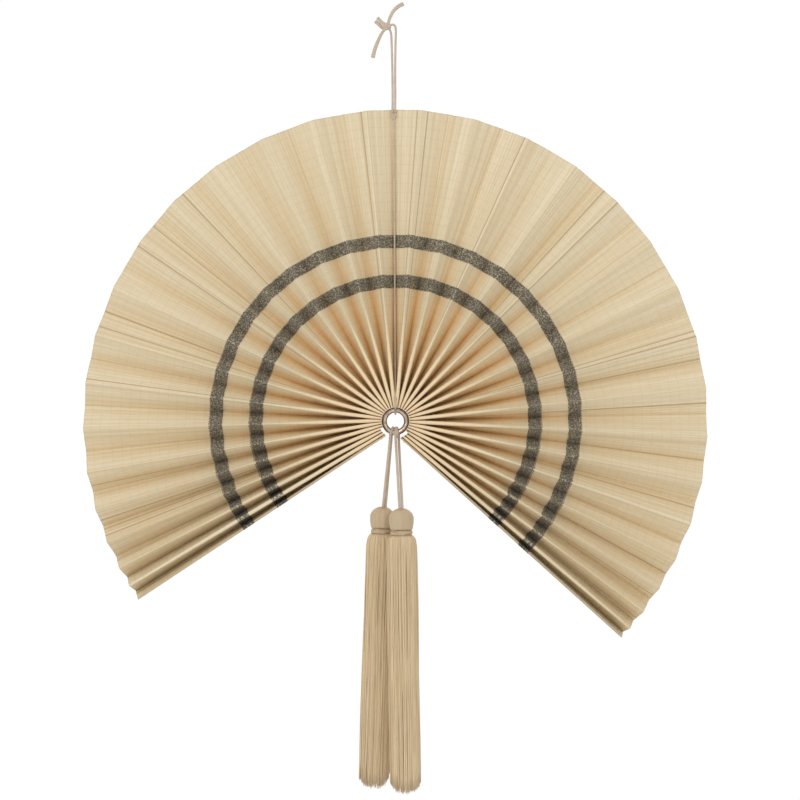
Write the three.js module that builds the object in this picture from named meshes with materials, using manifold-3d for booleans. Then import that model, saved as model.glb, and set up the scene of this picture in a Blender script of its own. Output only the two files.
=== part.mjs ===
// A pleated bamboo wall fan: a mat of fine bamboo splints folded into radial pleats round a
// metal ring, hung by a knotted cord, with two long tassels looped on the ring.
// Millimetres, +Z up, the front faces -Y, the origin is the inside top of the hanging loop.
// Angles in the fan's plane are degrees clockwise from straight up, seen from the front.

import * as THREE from 'three';
import { mergeVertices } from 'three/addons/utils/BufferGeometryUtils.js';
import Module from 'manifold-3d';

const wasm = await Module();
wasm.setup();

// The leaf.
const HUB = new THREE.Vector3(2, 0, -444);
const RIM_RADIUS = 350;
const INNER_RADIUS = 17;
const INNER_RADIUS_GROWTH = 4.5;
const PANEL_WIDTH = 33;
const PANEL_THICKNESS = 0.9;
const CREASE_GAP = 0.3;
const CENTRE_ANGLE = -0.3;
const PITCH_TAPER = 0.7;
const PITCH_TAPER_POWER = 3.5;
const PITCH_WOBBLE = 0.2;
const STATIONS = 6;
const STATION_CROWDING = 1.5;
const SIDES = [
  { name: 'left', turn: -1, pleats: 15, rimSpan: 122.9, hubSpan: 143, edgeSpan: 1.5 },
  { name: 'right', turn: 1, pleats: 16, rimSpan: 133.1, hubSpan: 160, edgeSpan: 0.9 },
];

// The hub.
const RING_RADIUS = 12.6;
const RING_WIRE_RADIUS = 3;
const BINDING_INSET = 3.5;
const BINDING_THREAD_RADIUS = 0.6;
const BINDING_HOLE_RADIUS = 1;
const BINDING_HOLE_SIDES = 8;
const CORD_TO_RING = 0.4;
const VALLEY_CORD_RADIUS = 1.1;

// The hanging cord.
const CORD_RADIUS = 1.35;
const TAIL_RADIUS = 2.3;

// The tassels.
const TASSELS = [
  {
    name: 'left', headX: -14.3, depth: 3, headTop: -96, lean: 1.9, skirtLength: 294,
    ringAngles: [24, 18], turns: 0.5, cordX: [-13.6, -11.2], cordY: [1.4, 4.6],
  },
  {
    name: 'right', headX: 6.3, depth: -18, headTop: -97, lean: -0.9, skirtLength: 299,
    ringAngles: [1, -15], turns: 1.5, cordX: [4.1, 8.1], cordY: [-18, -18],
  },
];
const TASSEL_CORD_RADIUS = 1.35;
const HEAD_RADIUS = 13.9;
const HEAD_HEIGHT = 24;
const HEAD_BASE_RADIUS = 11;
const COLLAR_WRAPS = 2;
const COLLAR_WRAP_RADIUS = 1.6;
const NECK_RADIUS = 9.4;
const SKIRT_RADIUS = 17.3;
const SKIRT_FLATNESS = 0.72;
const PART_GAP = 0.3;

const BAMBOO = { color: 0xd9c9a3, roughness: 0.6, metalness: 0 };
const COTTON = { color: 0xcbb99a, roughness: 0.9, metalness: 0 };
const TASSEL_YARN = { color: 0xc6b188, roughness: 0.8, metalness: 0 };
const METAL = { color: 0xb79a6c, roughness: 0.35, metalness: 0.9 };

const group = new THREE.Group();

function addPart(name, geometry, finish, parent = group) {
  const mesh = new THREE.Mesh(geometry, new THREE.MeshStandardMaterial(finish));
  mesh.name = name;
  parent.add(mesh);
  return mesh;
}

function atAngle(degrees, radius) {
  const angle = THREE.MathUtils.degToRad(degrees);
  return new THREE.Vector3(Math.sin(angle), 0, Math.cos(angle)).multiplyScalar(radius).add(HUB);
}

// Solids for cutting.

function toManifold(geometry) {
  const bare = geometry.clone();
  bare.deleteAttribute('normal');
  bare.deleteAttribute('uv');
  const welded = mergeVertices(bare);
  return new wasm.Manifold(new wasm.Mesh({
    numProp: 3,
    vertProperties: new Float32Array(welded.attributes.position.array),
    triVerts: new Uint32Array(welded.index.array),
  }));
}

function toGeometry(solid) {
  const mesh = solid.getMesh();
  const geometry = new THREE.BufferGeometry();
  geometry.setAttribute('position', new THREE.BufferAttribute(mesh.vertProperties, 3));
  geometry.setIndex(new THREE.BufferAttribute(mesh.triVerts, 1));
  return geometry;
}

// A round tube along a curve, with flat ends.
function tube(curve, radius, steps, sides = 8) {
  const section = new THREE.Shape();
  for (let k = 0; k < sides; k += 1) {
    const angle = (2 * Math.PI * k) / sides;
    const x = radius * Math.cos(angle);
    const y = radius * Math.sin(angle);
    if (k === 0) section.moveTo(x, y);
    else section.lineTo(x, y);
  }
  return new THREE.ExtrudeGeometry(section, { steps, extrudePath: curve, bevelEnabled: false });
}

function through(points) {
  return new THREE.CatmullRomCurve3(points, false, 'centripetal');
}

// Creases. A crease's place counts pleats from the centre valley: whole numbers are valleys, at
// the back, and halves are ridges, at the front. The last half is the leaf's free edge.

function rimAngle(side, place) {
  const weight = (n) => 1 - PITCH_TAPER * (n / side.pleats) ** PITCH_TAPER_POWER;
  const total = (n) => Array.from({ length: n }, (_, k) => weight(k + 1)).reduce((a, b) => a + b, 0);
  const valley = (n) => {
    const wobble = n === 0 || n === side.pleats ? 0 : PITCH_WOBBLE * Math.sin(2.1 * n + side.turn);
    return (side.rimSpan * total(n)) / total(side.pleats) + wobble;
  };
  if (place > side.pleats) return side.rimSpan + side.edgeSpan;
  return (valley(Math.floor(place)) + valley(Math.ceil(place))) / 2;
}

function makeCrease(side, place) {
  const outAngle = CENTRE_ANGLE + side.turn * rimAngle(side, place);
  const inAngle = CENTRE_ANGLE + (side.turn * side.hubSpan * place) / (side.pleats + 0.5);
  const inRadius = INNER_RADIUS + INNER_RADIUS_GROWTH * (place / side.pleats) ** 3;
  return {
    inner: atAngle(inAngle, inRadius),
    outer: atAngle(outAngle, RIM_RADIUS),
    front: !Number.isInteger(place),
    bound: atAngle(inAngle, inRadius + BINDING_INSET),
  };
}

function makeCreases() {
  const [left, right] = SIDES;
  const creases = [];
  for (let place = left.pleats + 0.5; place > 0; place -= 0.5) creases.push(makeCrease(left, place));
  for (let place = 0; place <= right.pleats + 0.5; place += 0.5) creases.push(makeCrease(right, place));
  return creases;
}

const creases = makeCreases();
const CENTRE_CREASE = 2 * SIDES[0].pleats + 1;

// A panel keeps its width, so the further its two creases stand apart, the shallower it lies.
function panelDepth(index, end) {
  const apart = creases[index][end].distanceTo(creases[index + 1][end]);
  return Math.sqrt(PANEL_WIDTH ** 2 - apart ** 2);
}

function creaseDepth(index, end) {
  const panels = [index - 1, index].filter((k) => k >= 0 && k < creases.length - 1);
  const depth = panels.reduce((sum, k) => sum + panelDepth(k, end), 0) / panels.length;
  return creases[index].front ? -depth / 2 : depth / 2;
}

// A crease is straight, from its inner end by the ring to its outer end at the rim.
function creasePoint(index, along) {
  const point = creases[index].inner.clone().lerp(creases[index].outer, along);
  point.y = THREE.MathUtils.lerp(creaseDepth(index, 'inner'), creaseDepth(index, 'outer'), along);
  return point;
}

// One limb of a pleat's section, from its front crease towards the valley at its back: the
// outline's outer side down to the valley, then its inner side back.
function limbSection(front, valley) {
  const across = valley.clone().sub(front).setY(0);
  const reach = across.length();
  across.normalize();
  const drop = valley.y - front.y;
  const half = ((PANEL_THICKNESS / 2) * Math.hypot(reach, drop)) / drop;
  const edge = reach - CREASE_GAP / 2;
  const place = (u, y) => front.clone().addScaledVector(across, u).setY(y);
  return {
    top: place(half, front.y),
    shoulder: place(edge, front.y + (drop * (edge - half)) / reach),
    foot: place(edge, valley.y),
    heel: place(reach - half, valley.y),
    throat: front.clone().setY(front.y + (drop * half) / reach),
    back: place(-half, front.y),
  };
}

function pleatSection(index, along) {
  const front = creasePoint(index, along);
  const left = limbSection(front, creasePoint(index - 1, along));
  const right = limbSection(front, creasePoint(index + 1, along));
  const throat = left.throat.clone().add(right.throat).multiplyScalar(0.5);
  return [
    left.top, right.top, right.shoulder, right.foot, right.heel,
    throat, left.heel, left.foot, left.shoulder,
  ];
}

function edgeSection(frontIndex, valleyIndex, along) {
  const limb = limbSection(creasePoint(frontIndex, along), creasePoint(valleyIndex, along));
  return [limb.back, limb.top, limb.shoulder, limb.foot, limb.heel];
}

// A solid through a row of outlines that all have the same number of corners. Each four-sided
// stretch is split so that a twisted panel hollows away from the valley beside it.
function loft(sections) {
  const corners = sections[0].length;
  const origin = sections[0][0];
  const across = sections[0][1].clone().sub(origin).setY(0).normalize();
  const flat = sections[0].map((p) => new THREE.Vector2(p.clone().sub(origin).dot(across), p.y));
  const cap = THREE.ShapeUtils.triangulateShape(flat, []);
  const last = (sections.length - 1) * corners;
  const index = [];
  for (const [a, b, c] of cap) {
    index.push(a, b, c);
    index.push(last + a, last + c, last + b);
  }
  for (let k = 0; k < sections.length - 1; k += 1) {
    for (let n = 0; n < corners; n += 1) {
      const next = (n + 1) % corners;
      const a = k * corners + n;
      const b = k * corners + next;
      const towardsValley = sections[k][next].y > sections[k][n].y;
      if (towardsValley) index.push(a, a + corners, b, b, a + corners, b + corners);
      else index.push(a, a + corners, b + corners, a, b + corners, b);
    }
  }
  const geometry = new THREE.BufferGeometry().setFromPoints(sections.flat());
  geometry.setIndex(index);
  return geometry;
}

function facingOut(geometry) {
  const position = geometry.attributes.position;
  const at = (k) => new THREE.Vector3().fromBufferAttribute(position, geometry.index.getX(k));
  let volume = 0;
  for (let k = 0; k < geometry.index.count; k += 3) volume += at(k).dot(at(k + 1).cross(at(k + 2)));
  if (volume < 0) {
    const turned = Array.from(geometry.index.array).reverse();
    geometry.setIndex(turned);
  }
  return geometry;
}

// The binding thread runs through a hole across each panel, near its inner end.
const bindingCurve = through(creases.map((crease) => crease.bound));

function bindingHole(from, to) {
  const ends = [creases[from].bound.clone(), creases[to].bound.clone()];
  const beyond = ends[1].clone().sub(ends[0]).setLength(BINDING_HOLE_RADIUS);
  const line = new THREE.LineCurve3(ends[0].sub(beyond), ends[1].add(beyond));
  return toManifold(tube(line, BINDING_HOLE_RADIUS, 1, BINDING_HOLE_SIDES));
}

function addLeafPart(name, from, to, sectionAt) {
  const stations = Array.from({ length: STATIONS }, (_, k) => (k / (STATIONS - 1)) ** STATION_CROWDING);
  const solid = toManifold(facingOut(loft(stations.map(sectionAt))));
  addPart(name, toGeometry(solid.subtract(bindingHole(from, to))), BAMBOO);
}

function addLeaf() {
  for (const side of SIDES) {
    const edge = CENTRE_CREASE + side.turn * (2 * side.pleats + 1);
    for (let n = 1; n <= side.pleats; n += 1) {
      const ridge = CENTRE_CREASE + side.turn * (2 * n - 1);
      const number = String(n).padStart(2, '0');
      const name = `leaf_pleat_${side.name}_${number}`;
      addLeafPart(name, ridge - 1, ridge + 1, (along) => pleatSection(ridge, along));
    }
    const valley = edge - side.turn;
    addLeafPart(`leaf_edge_${side.name}`, valley, edge, (along) => edgeSection(edge, valley, along));
  }
}

// A point on a cord wound round the ring's wire: ringAngle is the place round the ring, from its
// lowest point towards -X, and wind turns round the wire from outside, by way of the front.
function onRing(ringAngle, wind, cordRadius) {
  const out = RING_WIRE_RADIUS + CORD_TO_RING + cordRadius;
  const winding = THREE.MathUtils.degToRad(wind);
  const point = atAngle(180 + ringAngle, RING_RADIUS + out * Math.cos(winding));
  point.y -= out * Math.sin(winding);
  return point;
}

function windings(fromAngle, toAngle, turns, cordRadius) {
  const count = Math.round(turns * 12);
  return Array.from({ length: count + 1 }, (_, k) => {
    const share = k / count;
    return onRing(THREE.MathUtils.lerp(fromAngle, toAngle, share), 90 + 360 * turns * share, cordRadius);
  });
}

function addHub() {
  const ring = new THREE.TorusGeometry(RING_RADIUS, RING_WIRE_RADIUS, 12, 36);
  ring.rotateX(Math.PI / 2);
  addPart('hub_ring', ring, METAL).position.copy(HUB);
  addPart('binding_thread', tube(bindingCurve, BINDING_THREAD_RADIUS, 72, 6), COTTON);
  const hitch = windings(180 + CENTRE_ANGLE, 180, 0.5, VALLEY_CORD_RADIUS);
  hitch.push(atAngle(0, 13.4).setY(7), atAngle(1, 14).setY(10.5), atAngle(3, 13.4).setY(14));
  addPart('ring_hitch', tube(through(hitch), VALLEY_CORD_RADIUS, 20), COTTON);
}

// The cord down the centre valley: distance from the hub and depth of each point. It crosses in
// front of the crowded inner ends, then sinks into the valley.
const VALLEY_ROUTE = [
  [13.4, -5.2], [14.4, -9], [14.9, -13], [16.3, -17], [19.2, -18.8], [24, -18], [31, -13.6],
  [42, -8.6], [60, -3], [80, 0.8], [110, 3.4], [150, 4.8], [200, 5], [250, 4.2],
  [300, 2.8], [339, 1.2],
];

// The hanging cord's two strands, its tails and the two cut ends that stand out of the knot.
const KNOT = new THREE.Vector3(-7.4, 0, -1);
const KNOT_RADIUS = 3.4;
const RIM_KNOT = new THREE.Vector3(0, 0.6, -101);
const RIM_KNOT_RADIUS = 3;
const LEFT_STRAND = [
  [-1.3, 0.6, -97.4], [-1.3, 0.6, -92], [-1.2, 0.6, -82], [-1.5, 0.6, -50], [-2.3, 0.6, -20],
  [-2.9, 0.4, -9], [-4.4, 0.2, -4.4],
];
const RIGHT_STRAND = [
  [1.7, 0.6, -97.4], [1.7, 0.6, -92], [1.8, 0.6, -82], [1.7, 0.6, -50], [2.1, 0.6, -20],
  [2.4, 0.4, -6], [1.7, 0.2, -0.4], [-0.6, 0.1, 1.5], [-3.4, 0, 1],
];
const TAIL_UP = [[-5.8, -1, 3.4], [-4.2, -2, 9], [0, -3, 16.5], [5.4, -3.4, 21.6], [11, -3.4, 24.6]];
const TAIL_DOWN = [
  [-10.4, -1, -4.6], [-14, -2, -9.6], [-17.4, -2.8, -17], [-20.6, -3.2, -25], [-23.6, -3.2, -36],
];
const END_UPPER = [[-11, -1.4, 2.2], [-14.6, -2, 5], [-18.4, -2.4, 9]];
const END_LOWER = [[-12.4, 1.4, -1.8], [-16.4, 1.6, 1.6], [-20.8, 1.8, 5.4]];

function addHangingCord() {
  const route = (points) => through(points.map(([x, y, z]) => new THREE.Vector3(x, y, z)));
  const valley = through(VALLEY_ROUTE.map(([radius, depth]) => atAngle(CENTRE_ANGLE, radius).setY(depth)));
  addPart('valley_cord', tube(valley, VALLEY_CORD_RADIUS, 64), COTTON);
  addPart('hanging_cord_left', tube(route(LEFT_STRAND), CORD_RADIUS, 24), COTTON);
  addPart('hanging_cord_right', tube(route(RIGHT_STRAND), CORD_RADIUS, 40), COTTON);
  addPart('tail_up', tube(route(TAIL_UP), TAIL_RADIUS, 8), COTTON);
  addPart('tail_down', tube(route(TAIL_DOWN), TAIL_RADIUS, 8), COTTON);
  addPart('knot_end_upper', tube(route(END_UPPER), TAIL_RADIUS * 0.7, 4), COTTON);
  addPart('knot_end_lower', tube(route(END_LOWER), TAIL_RADIUS * 0.7, 4), COTTON);
  addPart('hanging_knot', new THREE.SphereGeometry(KNOT_RADIUS, 14, 10), COTTON).position.copy(KNOT);
  addPart('rim_knot', new THREE.SphereGeometry(RIM_KNOT_RADIUS, 14, 10), COTTON).position.copy(RIM_KNOT);
}

// Tassels. Each hangs upright in its own group, which leans at the top of its head.

// A profile turned round Z, from its lowest point up.
function turned(profile) {
  const lathe = new THREE.LatheGeometry(profile.map(([r, z]) => new THREE.Vector2(r, z)), 24);
  lathe.rotateX(Math.PI / 2);
  return lathe;
}

function headProfile() {
  const middle = -HEAD_HEIGHT / 2;
  const base = Math.acos(HEAD_BASE_RADIUS / HEAD_RADIUS);
  const profile = [[0, -HEAD_HEIGHT]];
  for (let k = 0; k <= 8; k += 1) {
    const angle = THREE.MathUtils.lerp(-base, Math.PI / 2, k / 8);
    const height = (HEAD_HEIGHT / 2) * (angle < 0 ? Math.sin(angle) / Math.sin(base) : Math.sin(angle));
    profile.push([k === 8 ? 0 : HEAD_RADIUS * Math.cos(angle), middle + height]);
  }
  return profile;
}

function collarProfile(top) {
  const inner = NECK_RADIUS + PART_GAP;
  const profile = [[inner, top - 2 * COLLAR_WRAPS * COLLAR_WRAP_RADIUS]];
  for (let wrap = COLLAR_WRAPS - 1; wrap >= 0; wrap -= 1) {
    const middle = top - (2 * wrap + 1) * COLLAR_WRAP_RADIUS;
    for (const angle of [-60, 0, 60]) {
      const turn = THREE.MathUtils.degToRad(angle);
      profile.push([
        inner + COLLAR_WRAP_RADIUS * (0.8 + Math.cos(turn)),
        middle + COLLAR_WRAP_RADIUS * Math.sin(turn),
      ]);
    }
  }
  profile.push([inner, top], profile[0].slice());
  return profile;
}

function skirtProfile(top, length) {
  const neck = top - 2 * COLLAR_WRAPS * COLLAR_WRAP_RADIUS - 2 * PART_GAP;
  return [
    [0, top - length], [SKIRT_RADIUS, top - length], [SKIRT_RADIUS, neck - 60],
    [SKIRT_RADIUS * 0.98, neck - 28], [SKIRT_RADIUS * 0.88, neck - 13],
    [NECK_RADIUS + 2.6, neck - 3], [NECK_RADIUS, neck], [NECK_RADIUS, top], [0, top],
  ];
}

function tasselCord(tassel) {
  const [firstAngle, lastAngle] = tassel.ringAngles;
  const wound = windings(firstAngle, lastAngle, tassel.turns, TASSEL_CORD_RADIUS);
  const foot = (k) => new THREE.Vector3(tassel.cordX[k], tassel.cordY[k], tassel.headTop + 1.2).add(HUB);
  const strand = (k, top) => [0.12, 0.35, 0.65, 1].map((share) => {
    const point = top.clone().lerp(foot(k), share);
    point.y = THREE.MathUtils.lerp(top.y, foot(k).y, share ** 1.4);
    return point;
  });
  const up = strand(0, wound[0]).reverse();
  const down = strand(1, wound[wound.length - 1]);
  return through([...up, ...wound, ...down]);
}

function addTassel(tassel) {
  const hanging = new THREE.Group();
  hanging.position.set(tassel.headX, tassel.depth, tassel.headTop).add(HUB);
  hanging.rotation.y = THREE.MathUtils.degToRad(tassel.lean);
  group.add(hanging);
  const collarTop = -HEAD_HEIGHT - PART_GAP;
  const collar = turned(collarProfile(collarTop));
  const skirt = turned(skirtProfile(collarTop, tassel.skirtLength));
  const head = turned(headProfile());
  for (const piece of [collar, skirt]) piece.scale(1, SKIRT_FLATNESS, 1);
  addPart(`tassel_head_${tassel.name}`, head, TASSEL_YARN, hanging);
  addPart(`tassel_collar_${tassel.name}`, collar, COTTON, hanging);
  addPart(`tassel_skirt_${tassel.name}`, skirt, TASSEL_YARN, hanging);
  addPart(`tassel_cord_${tassel.name}`, tube(tasselCord(tassel), TASSEL_CORD_RADIUS, 80), COTTON);
}

addLeaf();
addHub();
addHangingCord();
TASSELS.forEach(addTassel);

export default group;
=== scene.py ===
import math

import bpy
import numpy as np
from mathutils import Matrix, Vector


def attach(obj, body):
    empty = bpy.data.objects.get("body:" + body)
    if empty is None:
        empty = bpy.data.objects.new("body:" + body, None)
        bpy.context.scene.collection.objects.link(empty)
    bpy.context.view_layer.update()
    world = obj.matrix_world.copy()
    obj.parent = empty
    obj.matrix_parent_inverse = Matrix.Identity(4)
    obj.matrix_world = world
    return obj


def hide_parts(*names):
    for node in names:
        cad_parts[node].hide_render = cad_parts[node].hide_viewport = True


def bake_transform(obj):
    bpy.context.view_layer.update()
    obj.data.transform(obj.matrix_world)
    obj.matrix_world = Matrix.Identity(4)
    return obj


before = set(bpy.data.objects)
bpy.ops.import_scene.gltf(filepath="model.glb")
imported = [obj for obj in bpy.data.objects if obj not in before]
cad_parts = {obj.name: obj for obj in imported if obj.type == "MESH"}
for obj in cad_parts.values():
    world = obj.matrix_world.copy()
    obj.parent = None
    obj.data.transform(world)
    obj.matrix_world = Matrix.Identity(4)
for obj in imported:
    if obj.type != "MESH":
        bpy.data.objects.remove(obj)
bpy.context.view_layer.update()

# A pleated bamboo wall fan. Metres, +Z up, the front faces -Y, the origin is the inside top of
# the hanging loop. Angles in the fan's plane are degrees clockwise from up, from the front.

MM = 0.001
random = np.random.default_rng(328)

# ------------------------------ camera

HUB = np.array([2, 0, -444]) * MM
CAMERA_PLACE = (0.0071, -3.5, -0.4202)
CAMERA_LENS = 140.2

camera_data = bpy.data.cameras.new("camera")
camera_data.lens = CAMERA_LENS
camera = bpy.data.objects.new("camera", camera_data)
camera.location = CAMERA_PLACE
camera.rotation_euler = (math.pi / 2, 0, 0)
bpy.context.scene.collection.objects.link(camera)
bpy.context.scene.camera = camera


# ------------------------------ mesh helpers


def unit(vectors):
    """Each vector at length one."""
    return vectors / np.maximum(np.linalg.norm(vectors, axis=-1, keepdims=True), 1e-12)


def even_turns(count):
    """Angles at even steps round a full turn."""
    return np.linspace(0, 2 * math.pi, count, endpoint=False)


def at_angle(degrees, radius, depth=0.0):
    """A point of the fan's plane, in millimetres from the hub, as metres."""
    angle = math.radians(degrees)
    return HUB + np.array([math.sin(angle) * radius, depth, math.cos(angle) * radius]) * MM


def grid_faces(rows, columns, start=0, closed=False, flip=False):
    """Quads over a grid of vertices numbered row by row; closed joins the last column to the first."""
    count = columns if closed else columns - 1
    row, column = np.meshgrid(np.arange(rows - 1), np.arange(count), indexing="ij")
    beside = (column + 1) % columns
    corners = [
        row * columns + column,
        row * columns + beside,
        (row + 1) * columns + beside,
        (row + 1) * columns + column,
    ]
    faces = np.stack(corners, -1).reshape(-1, 4) + start
    return faces[:, ::-1] if flip else faces


def cap_faces(around, first, centre, flip=False):
    """Triangles between a ring of vertices, counted from the first one, and a centre vertex."""
    ring = np.arange(around)
    beside = (ring + 1) % around
    if flip:
        ring, beside = beside, ring
    return np.stack([ring + first, beside + first, np.full(around, centre)], 1)


class MeshParts:
    """Vertices, faces and face values gathered from several shapes for one mesh."""

    def __init__(self):
        self.points, self.faces, self.slots, self.values, self.count = [], [], [], {}, 0

    def add(self, points, face_groups, slot=0, **values):
        """Adds a shape, whose faces come in groups with one number of corners each. Every value
        is one number, or one for each face."""
        points = np.asarray(points, float).reshape(-1, 3)
        faces = [face for group in face_groups for face in (np.asarray(group) + self.count).tolist()]
        for name, value in values.items():
            self.values.setdefault(name, []).append((len(self.faces), value, len(faces)))
        self.points.append(points)
        self.faces.extend(faces)
        self.slots.append(np.full(len(faces), slot))
        self.count += len(points)

    def make(self, name, materials, smooth=True):
        mesh = bpy.data.meshes.new(name)
        mesh.from_pydata(np.concatenate(self.points).tolist(), [], self.faces)
        for material in materials:
            mesh.materials.append(material)
        mesh.polygons.foreach_set("material_index", np.concatenate(self.slots).astype(np.int32))
        mesh.polygons.foreach_set("use_smooth", np.full(len(self.faces), smooth))
        for key, found in self.values.items():
            values = np.zeros(len(self.faces), np.float32)
            for start, value, length in found:
                values[start : start + length] = value
            mesh.attributes.new(key, "FLOAT", "FACE").data.foreach_set("value", values)
        mesh.update()
        made = bpy.data.objects.new(name, mesh)
        bpy.context.scene.collection.objects.link(made)
        return made


def point_values(made, name, values):
    """Gives a mesh a value at each vertex, for its material."""
    attribute = made.data.attributes.new(name, "FLOAT", "POINT")
    attribute.data.foreach_set("value", np.asarray(values, np.float32))


def smooth_route(points, step):
    """A centripetal Catmull-Rom curve through the points, sampled every step or less."""
    points = np.asarray(points, float)
    padded = np.vstack([2 * points[0] - points[1], points, 2 * points[-1] - points[-2]])
    fine = []
    for k in range(len(points) - 1):
        p = padded[k : k + 4]
        knots = np.cumsum([0.0, *np.sqrt(np.linalg.norm(np.diff(p, axis=0), axis=1))])
        t = np.linspace(knots[1], knots[2], 24, endpoint=False)[:, None]

        def between(a, b, i, j):
            return (a * (knots[j] - t) + b * (t - knots[i])) / (knots[j] - knots[i])

        a1, a2, a3 = between(p[0], p[1], 0, 1), between(p[1], p[2], 1, 2), between(p[2], p[3], 2, 3)
        b1, b2 = between(a1, a2, 0, 2), between(a2, a3, 1, 3)
        fine.append(between(b1, b2, 1, 2))
    fine = np.vstack([*fine, points[-1:]])
    return resample(fine, step)


def lengths_along(line):
    """How far along the line each of its points is."""
    return np.concatenate([[0], np.cumsum(np.linalg.norm(np.diff(line, axis=0), axis=1))])


def resample(line, step):
    """The same line with evenly spaced points."""
    along = lengths_along(line)
    count = max(3, int(math.ceil(along[-1] / step)) + 1)
    places = np.linspace(0, along[-1], count)
    return np.stack([np.interp(places, along, line[:, k]) for k in range(3)], 1)


def route_frames(line):
    """Two directions across the line at each of its points, carried along without twisting."""
    tangent = unit(np.gradient(line, axis=0))
    side = np.cross(tangent[0], [0.0, 1.0, 0.0])
    if np.linalg.norm(side) < 0.1:
        side = np.cross(tangent[0], [1.0, 0.0, 0.0])
    sides = [unit(side)]
    for t in tangent[1:]:
        last = sides[-1]
        sides.append(unit(last - t * (last @ t)))
    sides = np.array(sides)
    return sides, np.cross(tangent, sides)


def add_tube(parts, line, radius, around=12, plies=0, pitch=0.009, groove=0.2, slot=0, **values):
    """A closed tube along a line. With plies, the surface has that many twisted strands."""
    side, other = route_frames(line)
    radius = np.broadcast_to(radius, len(line))
    turn = even_turns(around)[None, :]
    lobe = 1.0
    if plies:
        twist = 2 * math.pi * lengths_along(line)[:, None] / pitch
        lobe = 1 - groove + groove * np.abs(np.cos(plies / 2 * (turn - twist)))
    reach = radius[:, None] * lobe
    ring = side[:, None] * (np.cos(turn) * reach)[..., None]
    ring = ring + other[:, None] * (np.sin(turn) * reach)[..., None]
    points = (line[:, None] + ring).reshape(-1, 3)
    count = len(points)
    face_groups = (
        grid_faces(len(line), around, closed=True, flip=True),
        cap_faces(around, 0, count),
        cap_faces(around, count - around, count + 1, flip=True),
    )
    parts.add(np.vstack([points, line[0], line[-1]]), face_groups, slot, **values)


# ------------------------------ material helpers


class Surface:
    """A Principled material and short ways to add nodes to it."""

    def __init__(self, name, colour, roughness, **sockets):
        self.material = bpy.data.materials.new(name)
        self.material.use_nodes = True
        self.material.diffuse_color = (*colour, 1)
        self.tree = self.material.node_tree
        self.shader = self.tree.nodes["Principled BSDF"]
        self.shader.inputs["Base Color"].default_value = (*colour, 1)
        self.shader.inputs["Roughness"].default_value = roughness
        for key, value in sockets.items():
            self.shader.inputs[key.replace("_", " ")].default_value = value

    def node(self, kind, **settings):
        made = self.tree.nodes.new(kind)
        for key, value in settings.items():
            setattr(made, key, value)
        return made

    def link(self, source, target):
        if isinstance(source, (int, float)):
            target.default_value = source
        elif isinstance(source, tuple):
            target.default_value = (*source, 1) if len(target.default_value) == 4 else source
        else:
            self.tree.links.new(source, target)

    def value(self, name):
        """The value that the mesh holds under this name."""
        return self.node("ShaderNodeAttribute", attribute_name=name).outputs["Fac"]

    def math(self, operation, a, b=0.0, c=0.0, clamp=False):
        made = self.node("ShaderNodeMath", operation=operation, use_clamp=clamp)
        for socket, value in zip(made.inputs, (a, b, c)):
            self.link(value, socket)
        return made.outputs[0]

    def times(self, a, b):
        return self.math("MULTIPLY", a, b)

    def ramp(self, value, low, high, to_low=0.0, to_high=1.0, smooth=True):
        """The value's place between low and high, from to_low to to_high."""
        kind = "SMOOTHSTEP" if smooth else "LINEAR"
        made = self.node("ShaderNodeMapRange", interpolation_type=kind)
        for socket, given in zip(made.inputs, (value, low, high, to_low, to_high)):
            self.link(given, socket)
        return made.outputs[0]

    def mix(self, share, a, b, blend="MIX"):
        made = self.node("ShaderNodeMix", data_type="RGBA", blend_type=blend)
        self.link(share, made.inputs[0])
        self.link(a, made.inputs[6])
        self.link(b, made.inputs[7])
        return made.outputs[2]

    def noise(self, vector, scale, detail=3.0, roughness=0.55):
        made = self.node("ShaderNodeTexNoise", noise_dimensions="3D")
        self.link(vector, made.inputs["Vector"])
        made.inputs["Scale"].default_value = scale
        made.inputs["Detail"].default_value = detail
        made.inputs["Roughness"].default_value = roughness
        return made.outputs["Fac"]

    def vector(self, x, y, z=0.0):
        made = self.node("ShaderNodeCombineXYZ")
        for socket, given in zip(made.inputs, (x, y, z)):
            self.link(given, socket)
        return made.outputs[0]

    def place(self):
        return self.node("ShaderNodeTexCoord").outputs["Object"]

    def finish(self, colour=None, bump=None, strength=0.3, distance=0.0005):
        if colour is not None:
            self.link(colour, self.shader.inputs["Base Color"])
        if bump is not None:
            made = self.node("ShaderNodeBump")
            made.inputs["Strength"].default_value = strength
            made.inputs["Distance"].default_value = distance
            self.link(bump, made.inputs["Height"])
            self.link(made.outputs[0], self.shader.inputs["Normal"])
        return self.material


# ------------------------------ materials

# Each woven band, from its inner to its outer radius.
BANDS = ((0.1506, 0.1652), (0.1955, 0.2100))
BAND_EDGE = 0.0004
THREAD_SPACING = 0.0105


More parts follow.
